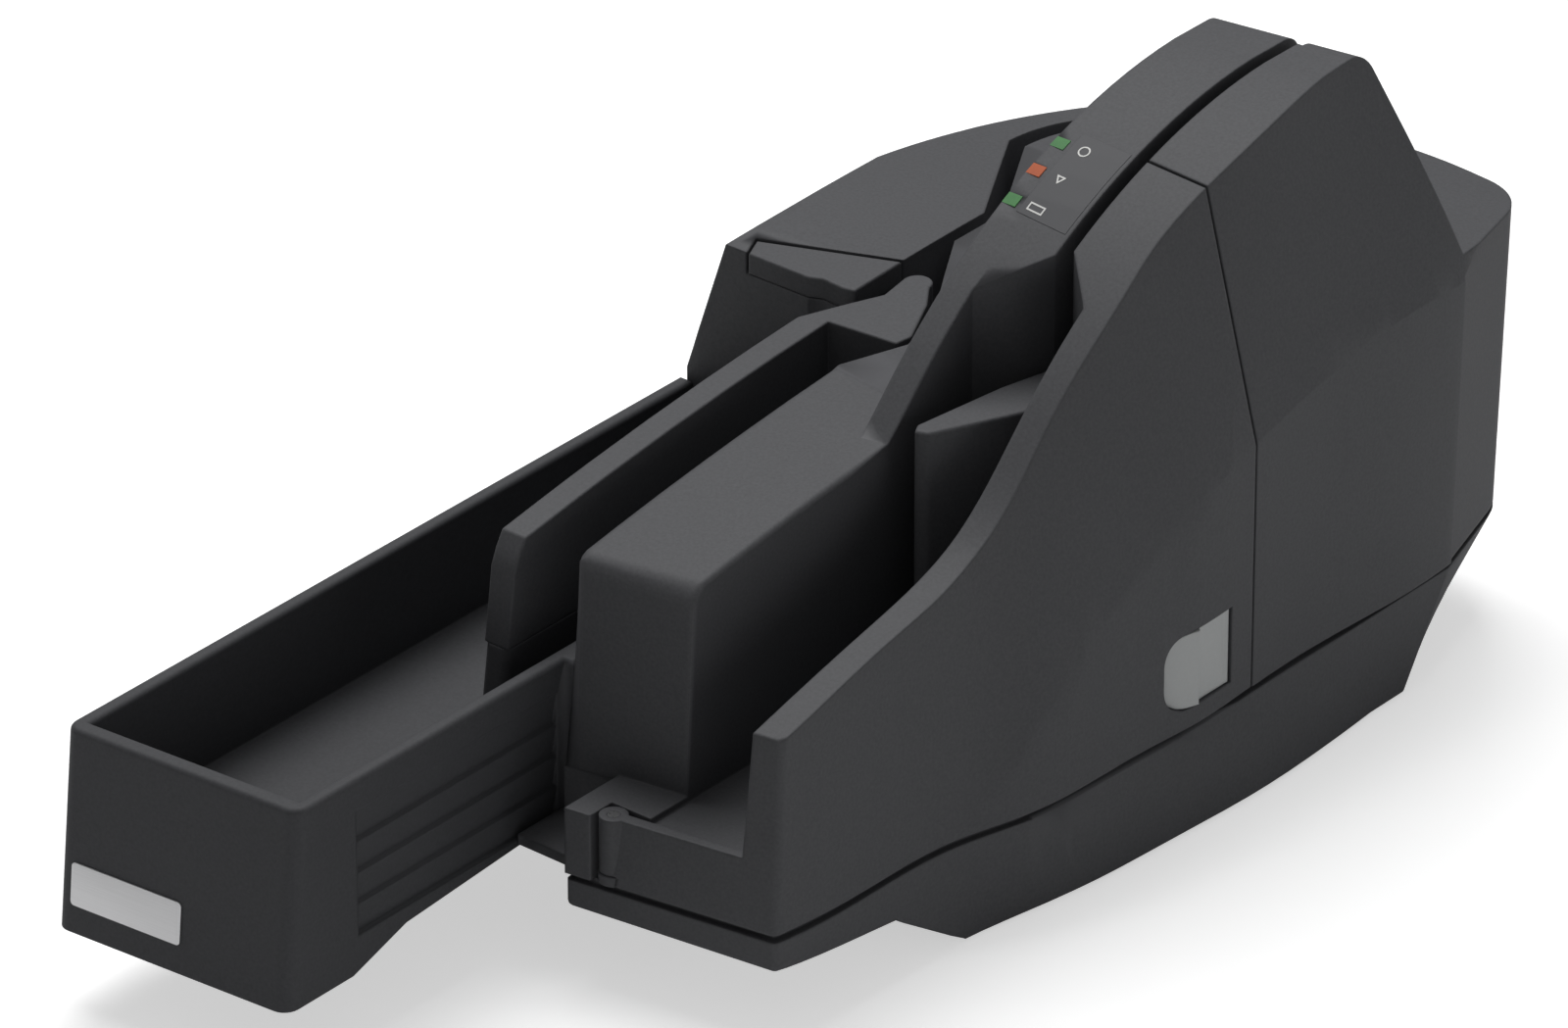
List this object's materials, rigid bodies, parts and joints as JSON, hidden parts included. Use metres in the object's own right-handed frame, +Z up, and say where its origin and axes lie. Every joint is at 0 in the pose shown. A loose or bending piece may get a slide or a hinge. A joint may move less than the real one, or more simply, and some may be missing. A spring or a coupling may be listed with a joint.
{
  "type": "cheque scanner",
  "caption": "Desktop cheque scanner in charcoal plastic with a curved paper track, a swinging feeder-side cover, a cartridge lid and a long two-pocket tray.",
  "frame": {"origin": "middle of the footprint, on the plane under the rubber feet", "axes": "+X to the machine's right (the latch lever's side), +Y to its rear, away from the tray, +Z up"},
  "size_m": [0.1622, 0.3852, 0.172],
  "materials": {
    "shell": "fine matte grain",
    "lens_green": "clear tinted",
    "lens_orange": "clear tinted",
    "rubber": "matte",
    "steel": "ground",
    "light_grey": "satin",
    "dark_plastic": "satin",
    "circuit": "lacquered"
  },
  "bodies": {
    "base": {"lower_case": "shell", "rubber_feet": "rubber", "pocket_tray": "shell", "centre_housing": "shell", "divider_base": "shell", "divider_cap": "shell", "left_housing": "shell", "rear_cover": "shell", "lamp_ready": "lens_green", "lamp_error": "lens_orange", "lamp_power": "lens_green", "hinge_pin": "steel", "endorsing_cartridge": "dark_plastic", "front_scan_head": "dark_plastic", "rear_scan_head": "dark_plastic", "magnetic_head": "dark_plastic", "drive_motor": "steel", "main_board": "circuit", "gate_solenoid": "steel", "drive_belt": "rubber", "exit_pinch_pin": "steel", "return_pinch_pin": "steel", "power_inlet": "dark_plastic", "usb_socket": "steel", "switch_frame": "dark_plastic"},
    "front_cover": {"front_cover": "shell", "retard_pin": "steel", "lever_pin": "steel"},
    "retard_roller": {"retard_roller": "rubber"},
    "latch_lever": {"latch_lever": "light_grey"},
    "cartridge_lid": {"cartridge_lid": "shell"},
    "hopper_pusher": {"hopper_pusher": "shell"},
    "motor_drive": {"motor_pulley": "dark_plastic"},
    "feed_drive": {"feed_shaft": "steel", "feed_roller": "rubber", "feed_pulley": "dark_plastic"},
    "entry_drive": {"entry_shaft": "steel", "entry_roller": "rubber", "entry_pulley": "dark_plastic"},
    "exit_drive": {"exit_shaft": "steel", "exit_roller": "rubber", "exit_pulley": "dark_plastic"},
    "return_drive": {"return_shaft": "steel", "return_roller": "rubber", "return_pulley": "dark_plastic"},
    "exit_pinch": {"exit_pinch_roller": "rubber"},
    "return_pinch": {"return_pinch_roller": "rubber"},
    "diverter_gate": {"diverter_gate": "dark_plastic"},
    "power_rocker": {"power_rocker": "dark_plastic"}
  },
  "joints": [
    {"name": "cover_hinge", "type": "hinge", "parent": "base", "child": "front_cover", "pos_m": [0.0176, -0.10271, 0.04], "axis": [0, 0, 1], "range_deg": [-35, 0]},
    {"name": "latch_pivot", "type": "hinge", "parent": "front_cover", "child": "latch_lever", "pos_m": [0.0765, 0.0551, 0.0459], "axis": [0, 0, 1], "range_deg": [0, 20], "stiffness_Nm_per_rad": 0.02, "springref_deg": -5.73},
    {"name": "retard_spin", "type": "hinge", "parent": "front_cover", "child": "retard_roller", "pos_m": [0.04755, 0.047, 0.064], "axis": [0, 0, 1], "continuous": true},
    {"name": "lid_hinge", "type": "hinge", "parent": "base", "child": "cartridge_lid", "pos_m": [-0.0616, 0.04445, 0.11518], "axis": [0.3583, -0.9336, 0], "range_deg": [0, 95]},
    {"name": "pusher_pivot", "type": "hinge", "parent": "base", "child": "hopper_pusher", "pos_m": [0.0468, 0.0286, 0.08], "axis": [0, 0, 1], "range_deg": [0, 15], "stiffness_Nm_per_rad": 0.02, "springref_deg": -5.73},
    {"name": "motor_spin", "type": "hinge", "parent": "base", "child": "motor_drive", "pos_m": [-0.002, 0.04, 0.019], "axis": [0, 0, 1], "continuous": true},
    {"name": "feed_spin", "type": "hinge", "parent": "base", "child": "feed_drive", "pos_m": [0.0154, 0.008, 0.064], "axis": [0, 0, 1], "continuous": true},
    {"name": "entry_spin", "type": "hinge", "parent": "base", "child": "entry_drive", "pos_m": [0.03225, 0.047, 0.064], "axis": [0, 0, 1], "continuous": true},
    {"name": "exit_spin", "type": "hinge", "parent": "base", "child": "exit_drive", "pos_m": [0.03225, 0.113, 0.064], "axis": [0, 0, 1], "continuous": true},
    {"name": "return_spin", "type": "hinge", "parent": "base", "child": "return_drive", "pos_m": [-0.01535, 0.084, 0.064], "axis": [0, 0, 1], "continuous": true},
    {"name": "exit_pinch_spin", "type": "hinge", "parent": "base", "child": "exit_pinch", "pos_m": [0.04755, 0.113, 0.064], "axis": [0, 0, 1], "continuous": true},
    {"name": "return_pinch_spin", "type": "hinge", "parent": "base", "child": "return_pinch", "pos_m": [-0.03065, 0.084, 0.064], "axis": [0, 0, 1], "continuous": true},
    {"name": "gate_pivot", "type": "hinge", "parent": "base", "child": "diverter_gate", "pos_m": [-0.0245, 0.0665, 0.07], "axis": [0, 0, 1], "range_deg": [-6, 6]},
    {"name": "rocker_pivot", "type": "hinge", "parent": "base", "child": "power_rocker", "pos_m": [-0.0755, 0.1105, 0.0495], "axis": [0, 1, 0], "range_deg": [0, 12]}
  ],
  "couplings": [
    {"joint": "feed_spin", "follows": "motor_spin", "ratio": 1},
    {"joint": "entry_spin", "follows": "motor_spin", "ratio": 1},
    {"joint": "exit_spin", "follows": "motor_spin", "ratio": 1},
    {"joint": "return_spin", "follows": "motor_spin", "ratio": 1}
  ]
}
